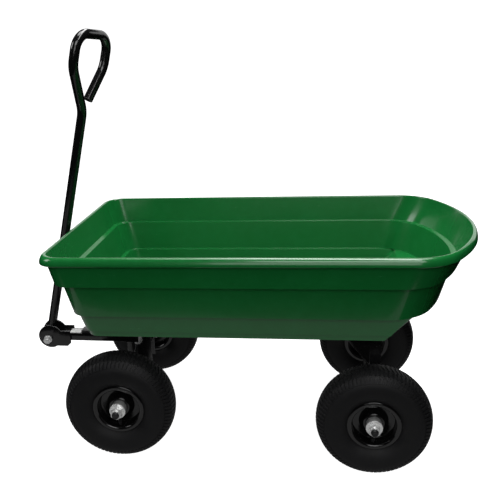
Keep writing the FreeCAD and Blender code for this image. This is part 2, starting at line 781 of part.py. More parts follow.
def make_rim_half():
    """One stamped half of the rim, its flange at -Y and its flat web on the wheel's middle."""
    t = rim_sheet
    w = rim_half_width
    bore = hub_radius + 0.05
    flange = rim_flange_radius
    foot, top, height = rim_cone_foot, rim_cone_top, rim_cone_height
    outline = [(-w, flange), (-w + t, flange), (-w + t, seat), (0, seat), (0, foot - 1.1),
               (-height + t, top - 1.1), (-height + t, bore), (-height, bore), (-height, top),
               (-t, foot), (-t, seat - t), (-w, seat - t)]
    return revolve(outline)


valve_hole = rod(valve_radius + 1.2, tuple(valve_start), tuple(valve_end))
rim_half_shape = make_rim_half()
hub_shape = tube(hub_radius, hub_radius - hub_wall, (0, -hub_half_length, 0),
                 (0, hub_half_length, 0))
bearing = tube(hub_radius - hub_wall, axle_radius + running_gap,
               (0, hub_half_length - bearing_width, 0), (0, hub_half_length, 0))
wheel_parts = {
    "tyre": make_tyre(),
    "inner_tube": make_inner_tube(),
    "rim_outer_half": rim_half_shape.cut(valve_hole),
    "rim_inner_half": mirrored(rim_half_shape),
    "hub": hub_shape,
    "bearings": group([bearing, mirrored(bearing)]),
}


def stand_wheel(shape, side):
    """Turn a left wheel's piece into the side's own one, and put it on its axle's end."""
    shape = shape.copy() if side == "left" else mirrored(shape)
    y = -track / 2 if side == "left" else track / 2
    shape.translate(Vector(0, y, axle_z))
    return shape


for side in ("left", "right"):
    for name, shape in wheel_parts.items():
        nodes["rear_" + side + "_" + name] = stand_wheel(shape, side)
        nodes["front_" + side + "_" + name] = steered(stand_wheel(shape, side))

# ---------------------------------------------------------------- origin and export
box_all = None
for shape in nodes.values():
    bounds = shape.optimalBoundingBox(False, False)
    if box_all is None:
        box_all = bounds
    else:
        box_all.add(bounds)
origin_shift = Vector(-(box_all.XMin + box_all.XMax) / 2, -(box_all.YMin + box_all.YMax) / 2,
                      -box_all.ZMin)


def report_point(name, point):
    place = point + origin_shift
    print(name, round(place.x, 4), round(place.y, 4), round(place.z, 4))


def marker(shape_function, x, y, z):
    return shape_function(Part.Vertex(x, y, z)).Point


report_point("rear_axle", Vector(0, 0, axle_z))
report_point("front_axle", Vector(-wheelbase, 0, axle_z))
report_point("kingpin", Vector(-wheelbase, 0, cross_plate_z))
report_point("tub_hinge", marker(deck, hinge_x, 0, hinge_z))
report_point("handle_pivot", marker(steered, handle_pivot_u, 0, handle_pivot_z))
report_point("latch", marker(deck, latch_x, 0, latch_z))
report_point("tub_floor", marker(deck, -300, 0, tub_bottom_z + tub_wall))
report_point("grip", marker(pose_handle, 0, 0, handle_shaft + 110))
report_point("shift", ORIGIN)
print("lean", round(handle_lean, 4))
for name, shape in nodes.items():
    shape.translate(origin_shift)
    shape.exportStep("parts/" + name + ".step")
print("nodes", len(nodes), "size", round(box_all.XLength, 1), round(box_all.YLength, 1),
      round(box_all.ZLength, 1))
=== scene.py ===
import math

import bmesh
import bpy
from mathutils import Matrix, Vector


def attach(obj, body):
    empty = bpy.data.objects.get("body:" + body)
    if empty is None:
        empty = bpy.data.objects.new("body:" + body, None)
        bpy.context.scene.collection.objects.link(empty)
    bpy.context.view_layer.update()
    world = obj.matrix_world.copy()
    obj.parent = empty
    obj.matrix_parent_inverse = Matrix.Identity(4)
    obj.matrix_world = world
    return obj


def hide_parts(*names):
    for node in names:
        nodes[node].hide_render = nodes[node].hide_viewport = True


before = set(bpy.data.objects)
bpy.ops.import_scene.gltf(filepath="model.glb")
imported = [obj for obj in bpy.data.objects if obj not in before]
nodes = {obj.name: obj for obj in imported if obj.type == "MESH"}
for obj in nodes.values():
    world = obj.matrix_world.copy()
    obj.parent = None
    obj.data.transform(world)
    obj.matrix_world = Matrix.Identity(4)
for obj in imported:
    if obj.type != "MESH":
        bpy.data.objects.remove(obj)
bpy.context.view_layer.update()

# ------------------------------------------------------------------ the side rails
# Two long square steel tubes that carry the tub, cut open at the front and rounded over
# the hinge rod at the back. Black powder coat, laid on the deck's slight downhill slope.


class Signal:
    """A value that runs through a finish's node graph. Sums on it add Math nodes."""

    def __init__(self, finish, socket):
        self.finish = finish
        self.socket = socket

    def combine(self, operation, *values):
        return self.finish.add("Math", {"operation": operation}, dict(enumerate(values)))

    def __add__(self, other):
        return self.combine("ADD", self, other)

    def __sub__(self, other):
        return self.combine("SUBTRACT", self, other)

    def __rsub__(self, other):
        return self.combine("SUBTRACT", other, self)

    def __mul__(self, other):
        return self.combine("MULTIPLY", self, other)

    __radd__ = __add__
    __rmul__ = __mul__


class Finish:
    """A named surface finish: one Principled surface and the nodes that feed it."""

    def __init__(self, name, **constants):
        self.material = bpy.data.materials.new(name)
        self.material.use_nodes = True
        self.graph = self.material.node_tree
        self.shader = self.graph.nodes["Principled BSDF"]
        self.material.diffuse_color = (0.1, 0.1, 0.1, 1)
        for socket, value in constants.items():
            self.feed(socket.replace("_", " "), value)
        self.place = self.add("TexCoord", output="Object")

    def feed(self, socket, value):
        """Set a socket of the surface, or link a signal to it."""
        target = self.shader.inputs[socket]
        if isinstance(value, Signal):
            self.graph.links.new(value.socket, target)
        else:
            target.default_value = value

    def add(self, kind, settings=None, inputs=None, output=0):
        node = self.graph.nodes.new("ShaderNode" + kind)
        for name, value in (settings or {}).items():
            setattr(node, name, value)
        for name, value in (inputs or {}).items():
            if isinstance(value, Signal):
                self.graph.links.new(value.socket, node.inputs[name])
            else:
                node.inputs[name].default_value = value
        return Signal(self, node.outputs[output])

    def stretched(self, scale):
        """The piece's own coordinates, squeezed by a different amount along each axis."""
        return self.add("Mapping", inputs={"Vector": self.place, "Scale": scale})

    def noise(self, scale, detail=3.0, roughness=0.55, along=None):
        return self.add("TexNoise", inputs={
            "Vector": self.place if along is None else self.stretched(along),
            "Scale": scale, "Detail": detail, "Roughness": roughness})

    def band(self, signal, low, high):
        """0 below low, 1 above high, and smooth between."""
        return self.add("MapRange", {"interpolation_type": "SMOOTHSTEP"},
                        {"Value": signal, "From Min": low, "From Max": high})

    def tint(self, amount, first, second):
        """A colour that goes from first to second as amount goes from 0 to 1."""
        colours = {"Factor": amount, 6: first, 7: second}
        return self.add("Mix", {"data_type": "RGBA"}, colours, output=2)

    def bump(self, height, depth, strength=1.0):
        normal = self.add("Bump", inputs={"Height": height, "Distance": depth,
                                          "Strength": strength})
        self.feed("Normal", normal)


def powder_coat(name, tone=0.007, gloss=0.2, dust=0.4):
    """Black powder coat: orange peel, thin scuffs, and pale dust that settles in patches."""
    coat = Finish(name, Specular_IOR_Level=0.5, Coat_Roughness=0.12)
    patches = coat.band(coat.noise(14.0, 5.0, 0.62), 0.5, 0.78)
    specks = coat.band(coat.noise(620.0, 2.0, 0.5), 0.6, 0.78)
    scuffs = coat.band(coat.noise(30.0, 8.0, 0.74, (9.0, 1.0, 2.6)), 0.61, 0.7)
    grime = patches * dust * 0.35 + specks * 0.1
    dark = (tone, tone, tone * 1.07, 1)
    dusty = coat.tint(grime, dark, (0.05, 0.048, 0.044, 1))
    coat.feed("Base Color", coat.tint(scuffs * 0.35, dusty, (0.13, 0.13, 0.135, 1)))
    coat.feed("Roughness", coat.noise(55.0, 4.0) * 0.12 + patches * 0.16 * dust
              + scuffs * 0.12 + (gloss - 0.06))
    coat.feed("Coat Weight", 0.35 - patches * 0.3)
    peel = coat.noise(420.0, 2.0, 0.4)
    coat.bump(peel + scuffs * 0.25, 0.00035, 0.32)
    return coat.material


def deselect():
    if bpy.context.object and bpy.context.object.mode != "OBJECT":
        bpy.ops.object.mode_set(mode="OBJECT")
    bpy.ops.object.select_all(action="DESELECT")


def make_active(piece):
    deselect()
    piece.select_set(True)
    bpy.context.view_layer.objects.active = piece


def bar(name, low, high):
    """A solid bar between two opposite corners."""
    low, high = Vector(low), Vector(high)
    deselect()
    bpy.ops.mesh.primitive_cube_add(size=1, location=(low + high) / 2, scale=high - low)
    piece = bpy.context.object
    piece.name = name
    bpy.ops.object.transform_apply(location=True, rotation=True, scale=True)
    return piece


def pick(piece, kind, wanted):
    """Enter edit mode with only those verts, edges or faces selected that wanted() accepts.
    It is given a vertex's or face centre's place, or an edge's two ends."""
    make_active(piece)
    bpy.ops.object.mode_set(mode="EDIT")
    mode = {"verts": "VERT", "edges": "EDGE", "faces": "FACE"}[kind]
    bpy.ops.mesh.select_mode(type=mode)
    bpy.ops.mesh.select_all(action="DESELECT")
    mesh = bmesh.from_edit_mesh(piece.data)
    mesh.normal_update()
    found = 0
    for item in getattr(mesh, kind):
        if kind == "verts":
            chosen = wanted(item.co)
        elif kind == "edges":
            chosen = wanted(item.verts[0].co, item.verts[1].co)
        else:
            chosen = wanted(item.calc_center_median(), item.normal)
        if chosen:
            item.select_set(True)
            found += 1
    mesh.select_flush_mode()
    bmesh.update_edit_mesh(piece.data)
    return found


def leave_edit():
    bpy.ops.object.mode_set(mode="OBJECT")


def apply_modifier(piece, kind, **settings):
    make_active(piece)
    modifier = piece.modifiers.new(kind.title(), kind)
    for name, value in settings.items():
        setattr(modifier, name, value)
    bpy.ops.object.modifier_apply(modifier=modifier.name)


def soften(piece, width, segments=2, angle=32):
    """Round the sharp edges of a piece, as bending, grinding or moulding leaves them."""
    apply_modifier(piece, "BEVEL", width=width, segments=segments, limit_method="ANGLE",
                   angle_limit=math.radians(angle), harden_normals=False,
                   use_clamp_overlap=True)


def smooth(piece, angle=35):
    make_active(piece)
    bpy.ops.object.shade_smooth_by_angle(angle=math.radians(angle))


def turn_piece(piece, matrix):
    """Move a piece and keep its object at the origin."""
    make_active(piece)
    piece.data.transform(matrix)
    piece.data.update()


def fit_piece(piece, material, body, stands_for=()):
    """Give a finished piece its finish and its body, and hide the nodes it stands for."""
    piece.data.materials.clear()
    piece.data.materials.append(material)
    if stands_for:
        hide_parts(*stands_for)
    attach(piece, body)
    deselect()


origin_x = 0.3169930                 # the rear axle's place along the cart
deck_pivot = Vector((origin_x, 0, 0.300))
deck_tilt = math.radians(-2.1)
slope = (Matrix.Translation(deck_pivot) @ Matrix.Rotation(deck_tilt, 4, "Y")
         @ Matrix.Translation(-deck_pivot))


def cart_x(x):
    """A place given from the rear axle, along the cart."""
    return origin_x + x


rail_size = 0.025
rail_wall = 0.002
rail_hollow = 0.12                   # how far the open front end is hollowed out
rail_y = 0.1355
rail_top = 0.3256
hinge_x = cart_x(0.002)
rail_front = cart_x(-0.668)
frame_coat = powder_coat("frame powder coat")


def side_rail(name, y):
    half = rail_size / 2
    rail = bar(name, (rail_front, y - half, rail_top - rail_size),
               (hinge_x + half, y + half, rail_top))
    pick(rail, "edges", lambda a, b: a.x > hinge_x and b.x > hinge_x and abs(a.y - b.y) > half)
    bpy.ops.mesh.bevel(offset=half * 0.98, segments=10, affect="EDGES")
    leave_edit()
    pick(rail, "faces", lambda at, normal: normal.x < -0.9)
    bpy.ops.mesh.inset(thickness=rail_wall)
    bpy.ops.mesh.extrude_region_move(TRANSFORM_OT_translate={"value": (rail_hollow, 0, 0)})
    leave_edit()
    soften(rail, 0.0011, 3, 50)
    smooth(rail)
    turn_piece(rail, slope)
    return rail


for name, y in (("left_rail", -rail_y), ("right_rail", rail_y)):
    fit_piece(side_rail(name + "_tube", y), frame_coat, "frame", [name])

# ------------------------------------------------------------------ the welded frame pieces
# The channel that carries the kingpin across the rails, and the rear axle's beam with its
# legs, braces and tie. Steel, cut and welded, with a bead along each joint, then coated.


def worked_copy(node, name, width=0.0008, segments=2, angle=32):
    """A copy of a node's own mesh: merged into whole faces, with its sharp edges eased."""
    piece = nodes[node].copy()
    piece.data = nodes[node].data.copy()
    piece.name = name
    piece.parent = None
    for key in list(piece.keys()):
        del piece[key]
    bpy.context.scene.collection.objects.link(piece)
    make_active(piece)
    bpy.ops.object.mode_set(mode="EDIT")
    bpy.ops.mesh.select_mode(type="VERT")
    bpy.ops.mesh.select_all(action="SELECT")
    bpy.ops.mesh.remove_doubles(threshold=1e-5)
    bpy.ops.mesh.dissolve_limited(angle_limit=math.radians(0.6))
    leave_edit()
    if width:
        soften(piece, width, segments, angle)
    smooth(piece, angle + 5)
    return piece


def join_pieces(name, pieces):
    """Weld several meshes into one piece."""
    deselect()
    for piece in pieces:
        piece.select_set(True)
    bpy.context.view_layer.objects.active = pieces[0]
    bpy.ops.object.join()
    pieces[0].name = name
    return pieces[0]


def weld_bead(start, end, radius=0.0022):
    """A rippled fillet of weld metal that runs straight from start to end."""
    start, end = Vector(start), Vector(end)
    length = (end - start).length
    rings = max(6, int(length / 0.0024))
    deselect()
    bpy.ops.mesh.primitive_cylinder_add(vertices=10, radius=radius, depth=length)
    bead = bpy.context.object
    make_active(bead)
    bpy.ops.object.mode_set(mode="EDIT")
    for step in range(1, rings):
        bpy.ops.mesh.select_all(action="SELECT")
        bpy.ops.mesh.bisect(plane_co=(0, 0, -length / 2 + length * step / rings),
                            plane_no=(0, 0, 1))
    leave_edit()
    for vert in bead.data.vertices:
        ripple = 1.0 + 0.16 * math.sin(vert.co.z / 0.0024 * math.pi)
        end_taper = min(1.0, 0.55 + (length / 2 - abs(vert.co.z)) / 0.006)
        vert.co.x *= ripple * end_taper
        vert.co.y *= ripple * end_taper
    turn = (end - start).to_track_quat("Z", "Y").to_matrix().to_4x4()
    turn_piece(bead, Matrix.Translation((start + end) / 2) @ turn)
    smooth(bead, 60)
    return bead


beam_half = 0.0125
axle_height = 0.129
leg_y = 0.1355
beam_top = axle_height + beam_half
leg_beads = []
for side in (-1, 1):
    near, far = side * leg_y - beam_half, side * leg_y + beam_half
    for face in (-beam_half, beam_half):
        leg_beads.append(weld_bead((origin_x + face, near, beam_top),
                                   (origin_x + face, far, beam_top)))
    for face in (near, far):
        leg_beads.append(weld_bead((origin_x - beam_half, face, beam_top),
                                   (origin_x + beam_half, face, beam_top)))
rear_support = worked_copy("rear_axle_support", "rear_axle_support_weldment", 0.0013, 3)
fit_piece(join_pieces("rear_axle_support_weldment", [rear_support] + leg_beads),
          powder_coat("axle support powder coat", gloss=0.2), "frame",
          ["rear_axle_support"])

kingpin_x = cart_x(-0.594)
plate_top = 0.262
plate_half = 0.045
plate_beads = []
for side in (-1, 1):
    inner = side * (leg_y - beam_half)
    plate_beads.append(weld_bead((kingpin_x - plate_half + 0.006, inner, plate_top),
                                 (kingpin_x + plate_half - 0.006, inner, plate_top)))
cross_member = worked_copy("front_cross_member", "front_cross_member_channel", 0.0011, 3)
fit_piece(join_pieces("front_cross_member_channel", [cross_member] + plate_beads),
          frame_coat, "frame", ["front_cross_member"])

# ------------------------------------------------------------------ the tub's hinge and latch
# A plated rod through both rails, held by push-on caps; folded brackets under the tub that
# hang on it; and a spring-less pull bolt with a split ring that locks the tub's front tongue.


def zinc(name, tone=0.95, gloss=0.16, grime=0.35, metal=0.62):
    """Zinc plate: pale blue-grey metal, faint turning marks, dull spots and a little dirt."""
    plate = Finish(name, Specular_IOR_Level=0.6)
    cloud = plate.band(plate.noise(90.0, 4.0, 0.6), 0.35, 0.7)
    dirt = plate.band(plate.noise(150.0, 6.0, 0.7), 0.56, 0.8)
    lines = plate.noise(160.0, 4.0, 0.7, (1.0, 7.0, 1.0))
    bright = plate.tint(cloud, (tone, tone, tone * 0.99, 1),
                        (tone * 0.86, tone * 0.87, tone * 0.87, 1))
    plate.feed("Base Color", plate.tint(dirt * grime, bright, (0.10, 0.09, 0.075, 1)))
    plate.feed("Metallic", metal - dirt * 0.4 * grime)
    plate.feed("Roughness", cloud * 0.1 + dirt * 0.25 + lines * 0.08 + gloss)
    plate.bump(lines * 0.5 + cloud * 0.3, 0.00015, 0.3)
    return plate.material


bright_zinc = zinc("bright zinc plate")
worn_zinc = zinc("worn zinc plate", tone=0.6, gloss=0.33, grime=0.9)
small_parts = (
    ("hinge_rod", "hinge_rod_shaft", "frame", "hinge_rod_steel", worn_zinc, 0.0007),
    ("hinge_rod_caps", "hinge_rod_push_caps", "frame", "hinge_cap_zinc", bright_zinc, 0.0009),
    ("latch_bracket", "latch_guide_bracket", "frame", "latch_bracket_paint", frame_coat, 0.0008),
    ("latch_bolt", "latch_sliding_bolt", "latch", "latch_bolt_zinc", worn_zinc, 0.0007),
    ("latch_pull_ring", "latch_ring", "latch", "pull_ring_zinc", bright_zinc, 0.0),
    ("latch_tongue", "latch_tongue_plate", "tub_body", "latch_tongue_paint", frame_coat, 0.0007),
    ("tub_hinge_brackets", "tub_hinge_bracket_pair", "tub_body", "hinge_bracket_paint",
     frame_coat, 0.0006),
    ("tub_bolts", "tub_countersunk_bolts", "tub_body", "tub_bolt_zinc", bright_zinc, 0.0003),
    ("tub_nuts", "tub_hexagon_nuts", "tub_body", "tub_nut_zinc", bright_zinc, 0.0004),
)
for node, name, body, slot, finish, width in small_parts:
    fit_piece(worked_copy(node, name, width), finish, body, [node])

# ------------------------------------------------------------------ the axles
# Two 16 mm steel axles, blackened, rolled with a thread at both ends. Each wheel runs
# between two plated washers and is kept on by a hexagon lock nut with a nylon collar.


def turned(name, outline, steps=96):
    """A ring turned about the Y axis from a closed outline of (along the axle, radius)."""
    deselect()
    bpy.ops.mesh.primitive_circle_add(vertices=len(outline), radius=1.0)
    ring = bpy.context.object
    ring.name = name
    for vert, (along, radius) in zip(ring.data.vertices, outline):
        vert.co = (radius, along, 0.0)
    make_active(ring)
    bpy.ops.object.mode_set(mode="EDIT")
    bpy.ops.mesh.select_all(action="SELECT")
    bpy.ops.mesh.spin(steps=steps, angle=2 * math.pi, center=(0, 0, 0), axis=(0, 1, 0))
    bpy.ops.mesh.select_all(action="SELECT")
    bpy.ops.mesh.remove_doubles(threshold=1e-6)
    bpy.ops.mesh.normals_make_consistent(inside=False)
    leave_edit()
    return ring


rest_steer = math.radians(3.25)      # the front axle is parked slightly turned
steer_turn = (Matrix.Translation((kingpin_x, 0, 0))
              @ Matrix.Rotation(rest_steer, 4, "Z"))
axle_places = {"rear_axle": Matrix.Translation((origin_x, 0, axle_height)),
               "front_axle": steer_turn @ Matrix.Translation((0, 0, axle_height))}
axle_bodies = {"rear_axle": "frame", "front_axle": "steering"}
axle_radius = 0.008
hub_inner_y = 0.171
hub_outer_y = 0.243
washer_thick = 0.003
end_play = 0.0004                    # the gap between a hub and each of its washers
washer_start = hub_outer_y + end_play
nut_start = washer_start + washer_thick
nut_height = 0.014
axle_end = nut_start + nut_height + 0.008


def threaded_end(sign):
    """The outline of one end: rolled thread, then a chamfer."""
    pitch, root = 0.0016, axle_radius - 0.0009
    steps = int(0.034 / pitch)
    profile = [(axle_end - 0.0355, axle_radius)]
    for k in range(steps):
        foot = axle_end - 0.0352 + pitch * k
        profile += [(foot + pitch * 0.1, axle_radius - 0.0001), (foot + pitch * 0.5, root)]
    profile += [(axle_end - 0.0011, axle_radius - 0.0002), (axle_end, axle_radius - 0.0014)]
    return [(sign * along, radius) for along, radius in profile]


def axle_rod():
    right = threaded_end(1)
    left = threaded_end(-1)
    outline = ([(-axle_end, 0.0)] + left[::-1] + right + [(axle_end, 0.0)])
    rod = turned("axle_rod", outline, 40)
    smooth(rod, 28)
    return rod


def washer(start):
    low, high, eased = start, start + washer_thick, 0.0004
    ring = turned("axle_washer", [
        (low, axle_radius + 0.0001), (high, axle_radius + 0.0001), (high, 0.0185 - eased),
        (high - eased, 0.0185), (low + eased, 0.0185), (low, 0.0185 - eased)], 64)
    smooth(ring, 30)
    return ring


def hexagon_nut(name, across, low, high, bore, collar=0.0, collar_radius=0.0):
    """A hexagon along Y with turned-off corners, a countersunk bore and a rolled collar."""
    corner = across / 2 / math.cos(math.radians(30))
    deselect()
    bpy.ops.mesh.primitive_cylinder_add(vertices=6, radius=corner, depth=high - low,
                                        rotation=(math.radians(90), 0, 0),
                                        location=(0, (low + high) / 2, 0))
    body = bpy.context.object
    body.name = name
    bpy.ops.object.transform_apply(location=True, rotation=True, scale=True)
    rise = (corner - across / 2 * 0.97) * math.tan(math.radians(30))
    flat = across / 2 * 0.96
    ball = turned("corner_cutter", [
        (low - 0.0001, bore), (low - 0.0001, flat), (low + rise, corner + 0.0001),
        (high - rise, corner + 0.0001), (high + 0.0001, flat), (high + 0.0001, bore)], 72)
    cut = body.modifiers.new("corners", "BOOLEAN")
    cut.operation = "INTERSECT"
    cut.object = ball
    cut.solver = "EXACT"
    make_active(body)
    bpy.ops.object.modifier_apply(modifier=cut.name)
    bpy.data.objects.remove(ball)
    soften(body, 0.00035, 2, 28)
    smooth(body, 24)
    if collar:
        ring = turned("collar", [
            (high - 0.0002, bore), (high - 0.0002, collar_radius),
            (high + collar * 0.55, collar_radius), (high + collar * 0.9, collar_radius - 0.0006),
            (high + collar, collar_radius - 0.002), (high + collar, bore + 0.001),
            (high + collar * 0.7, bore)], 56)
        smooth(ring, 40)
        body = join_pieces(name, [body, ring])
    return body


def both_ends(make):
    """The same piece at both ends of an axle."""
    near = make()
    far = make()
    turn_piece(near, Matrix.Rotation(math.pi, 4, "Z"))
    return [near, far]


def black_steel():
    """Blackened steel: brown-black oxide, rubbed grey on the crests of the thread."""
    oxide = Finish("blackened axle steel", Specular_IOR_Level=0.5)
    rubbed = oxide.band(oxide.noise(170.0, 5.0, 0.7), 0.5, 0.75)
    oxide.feed("Base Color", oxide.tint(rubbed * 0.55, (0.012, 0.012, 0.013, 1),
                                        (0.13, 0.125, 0.12, 1)))
    oxide.feed("Metallic", rubbed * 0.5 + 0.3)
    oxide.feed("Roughness", rubbed * 0.12 + oxide.noise(60.0) * 0.15 + 0.26)
    oxide.bump(oxide.noise(500.0, 3.0), 0.0001, 0.3)
    return oxide.material


axle_oxide = black_steel()
for axle, place in axle_places.items():
    body = axle_bodies[axle]
    rings = both_ends(lambda: washer(washer_start))
    rings += both_ends(lambda: washer(hub_inner_y - end_play - washer_thick))
    nuts = both_ends(lambda: hexagon_nut("axle_nut", 0.024, nut_start, nut_start + nut_height,
                                         axle_radius, 0.003, 0.011))
    for name, piece, finish, slot in (
            ("_rod", axle_rod(), axle_oxide, "axle_steel"),
            ("_washers", join_pieces("rings", rings), bright_zinc, "zinc_washers"),
            ("_nuts", join_pieces("nuts", nuts), bright_zinc, "zinc_nuts")):
        piece.name = axle + name + "_turned"
        turn_piece(piece, place)
        node = axle + ("" if name == "_rod" else name)
        fit_piece(piece, finish, body, [node])

# ------------------------------------------------------------------ the tyres
# Four small pneumatic tyres of black rubber, moulded with three rows of staggered tread
# blocks. Their beads sit between the two halves of a pressed rim.
wheel_y = 0.207
wheel_places = {}
for side, sign in (("left", -1), ("right", 1)):
    hub_place = Matrix.Translation((0, sign * wheel_y, axle_height))
    facing = Matrix.Rotation(math.pi if sign > 0 else 0.0, 4, "Z")
    wheel_places["front_" + side] = steer_turn @ hub_place @ facing
    wheel_places["rear_" + side] = Matrix.Translation((origin_x, 0, 0)) @ hub_place @ facing


def copies_on_wheels(pattern, kind, finish):
    """Put a copy of a wheel's piece on each of the four wheels."""
    for wheel, place in wheel_places.items():
        piece = pattern.copy()
        piece.data = pattern.data.copy()
        piece.name = wheel + "_" + kind + "_shape"
        bpy.context.scene.collection.objects.link(piece)
        turn_piece(piece, place)
        fit_piece(piece, finish, wheel + "_wheel", [wheel + "_" + kind])
    bpy.data.objects.remove(pattern)


tread_steps = 240
steps_per_block = 3
tread_depth = 0.0018
middle_row = 0.0085                  # half widths of the middle blocks, of the smooth
side_groove = 0.0112                 # groove beside them, and of the staggered side blocks
side_row = 0.0235


def three_point_arc(first, middle, last, count):
    """Places on the arc through three (along, radius) points, ends left out."""
    ax, ay = first
    bx, by = middle
    cx, cy = last
    d = 2 * (ax * (by - cy) + bx * (cy - ay) + cx * (ay - by))
    ux = ((ax * ax + ay * ay) * (by - cy) + (bx * bx + by * by) * (cy - ay)
          + (cx * cx + cy * cy) * (ay - by)) / d
    uy = ((ax * ax + ay * ay) * (cx - bx) + (bx * bx + by * by) * (ax - cx)
          + (cx * cx + cy * cy) * (bx - ax)) / d
    radius = math.hypot(ax - ux, ay - uy)
    start = math.atan2(ay - uy, ax - ux)
    end = math.atan2(cy - uy, cx - ux)
    sweep = (end - start + math.pi) % (2 * math.pi) - math.pi
    return [(ux + radius * math.cos(start + sweep * k / (count + 1)),
             uy + radius * math.sin(start + sweep * k / (count + 1)))
            for k in range(1, count + 1)]


def tyre_outline():
    """The tyre's section: bead, sidewall, shoulder, crown, and back along the inside."""
    bead, foot, low = 0.0287, 0.0610, 0.0511
    wall = three_point_arc((-bead, foot), (-0.04175, 0.092), (-0.03125, 0.122), 13)
    outer = [(-bead, foot)] + wall
    shaped = []
    for along, radius in outer:
        sunk = tread_depth * min(1.0, max(0.0, (radius - 0.107) / 0.006))
        shaped.append((along + sunk * 0.85, radius - sunk * 0.45))
    crown = three_point_arc((-0.03125, 0.122), (0.0, 0.129), (0.03125, 0.122), 11)
    crown = [(-0.0300, 0.1205)] + crown + [(0.0300, 0.1205)]
    shaped += [(along * 0.985, radius - tread_depth) if 0 < k < 12 else (along, radius - 0.0012)
               for k, (along, radius) in enumerate(crown)]
    shaped += [(-along, radius) for along, radius in reversed(shaped[:len(outer)])]
    inner = [(bead, low), (0.0205, low), (0.0205, 0.062), (0.0335, 0.090), (0.0240, 0.114),
             (0.0, 0.1205), (-0.0240, 0.114), (-0.0335, 0.090), (-0.0205, 0.062),
             (-0.0205, low)]
    return [(-bead, low)] + shaped + inner


def rubber():
    """Black rubber: matt, slightly bloomed, with grey dust rubbed into the surface."""
    skin = Finish("tyre rubber", Specular_IOR_Level=0.25)
    bloom = skin.noise(12.0, 4.0, 0.6)
    dust = skin.band(skin.noise(60.0, 6.0, 0.7), 0.52, 0.8)
    black = skin.tint(bloom * 0.7, (0.0042, 0.0042, 0.0048, 1), (0.0078, 0.0078, 0.0085, 1))
    skin.feed("Base Color", skin.tint(dust * 0.3, black, (0.024, 0.023, 0.021, 1)))
    skin.feed("Roughness", bloom * 0.12 + dust * 0.12 + 0.5)
    grain = skin.noise(340.0, 3.0, 0.6)
    skin.bump(grain + skin.noise(75.0, 3.0) * 0.8, 0.0005, 0.3)
    return skin.material


def tyre():
    piece = turned("tyre", tyre_outline(), tread_steps)

    def block_rows(at, normal):
        radius = math.hypot(at.x, at.z)
        if radius < 0.1085 or normal.x * at.x + normal.z * at.z < 0:
            return False
        angle = math.degrees(math.atan2(at.z, at.x)) % 360
        step = int(angle / 360 * tread_steps) % steps_per_block
        across = abs(at.y)
        if middle_row <= across < side_groove:
            return False
        if side_groove <= across < side_row:
            return step in ((1, 2) if at.y < 0 else (2, 0))
        return step in (0, 1)

    pick(piece, "faces", block_rows)
    bpy.ops.mesh.inset(thickness=0.0005, depth=tread_depth * 0.95)
    leave_edit()
    mesh = piece.data
    for vert in mesh.vertices:
        x, y, z = vert.co
        radius = math.hypot(x, z)
        lean = math.radians(2.6) * math.sin(y / 0.0128) * max(0.0, (radius - 0.10) / 0.029)
        turn = math.atan2(z, x) + lean
        vert.co = (radius * math.cos(turn), y, radius * math.sin(turn))
    mesh.update()
    smooth(piece, 30)
    return piece


copies_on_wheels(tyre(), "tyre", rubber())

# ------------------------------------------------------------------ the rims
# Each wheel has two pressed steel dishes, back to back, under glossy black powder coat: a
# rolled flange that holds the bead, a deep bowl, and a cone that grips the hub.


def rim_outline():
    return [(-0.0315, 0.0560), (-0.0314, 0.0584), (-0.0306, 0.0596), (-0.0296, 0.0600),
            (-0.0288, 0.0594), (-0.0288, 0.0545), (-0.0280, 0.0522), (-0.0262, 0.0508),
            (-0.0002, 0.0508), (-0.0002, 0.0299), (-0.0172, 0.0226), (-0.0175, 0.01755),
            (-0.0200, 0.01755), (-0.0200, 0.0222), (-0.0192, 0.0236), (-0.0176, 0.0246),
            (-0.0046, 0.0302), (-0.0030, 0.0314), (-0.0025, 0.0332), (-0.0025, 0.0446),
            (-0.0030, 0.0464), (-0.0042, 0.0478), (-0.0060, 0.0483), (-0.0270, 0.0483),
            (-0.0292, 0.0492), (-0.0306, 0.0508), (-0.0314, 0.0530)]


rim_coat = powder_coat("rim powder coat", tone=0.003, gloss=0.12, dust=0.15)
outer_dish = turned("rim_dish", rim_outline(), 120)
soften(outer_dish, 0.0004, 2, 40)
smooth(outer_dish, 50)
inner_dish = outer_dish.copy()
inner_dish.data = outer_dish.data.copy()
bpy.context.scene.collection.objects.link(inner_dish)
turn_piece(inner_dish, Matrix.Rotation(math.pi, 4, "Z"))
copies_on_wheels(outer_dish, "rim_outer_half", rim_coat)
copies_on_wheels(inner_dish, "rim_inner_half", rim_coat)

# ------------------------------------------------------------------ hubs, bearings and tubes
# Each wheel turns on a plated hub tube pressed through both dishes, with a shielded ball
# bearing in each end. A butyl inner tube fills the tyre; its valve comes through the dish.
hub_radius = 0.0175
hub_half = 0.036
bearing_bore = 0.00806


def hub_tube():
    eased = 0.0007
    hub = turned("hub_tube", [
        (-hub_half, 0.0145), (-hub_half, hub_radius - eased), (-hub_half + eased, hub_radius),
        (hub_half - eased, hub_radius), (hub_half, hub_radius - eased), (hub_half, 0.0145)], 64)
    smooth(hub, 30)
    return hub


def bearing_ring(sign):
    """A bearing: hard outer and inner rings with a sunk shield between them."""
    face, back, sunk = hub_half, hub_half - 0.011, hub_half - 0.0012
    outline = [(back, bearing_bore), (face - 0.0004, bearing_bore), (face, bearing_bore + 0.0004),
               (face, 0.0102), (sunk, 0.0104), (sunk, 0.0124), (face, 0.0126),
               (face, 0.0141), (face - 0.0004, 0.0145), (back, 0.0145)]
    ring = turned("bearing", [(sign * along, radius) for along, radius in outline], 56)
    smooth(ring, 30)
    return ring


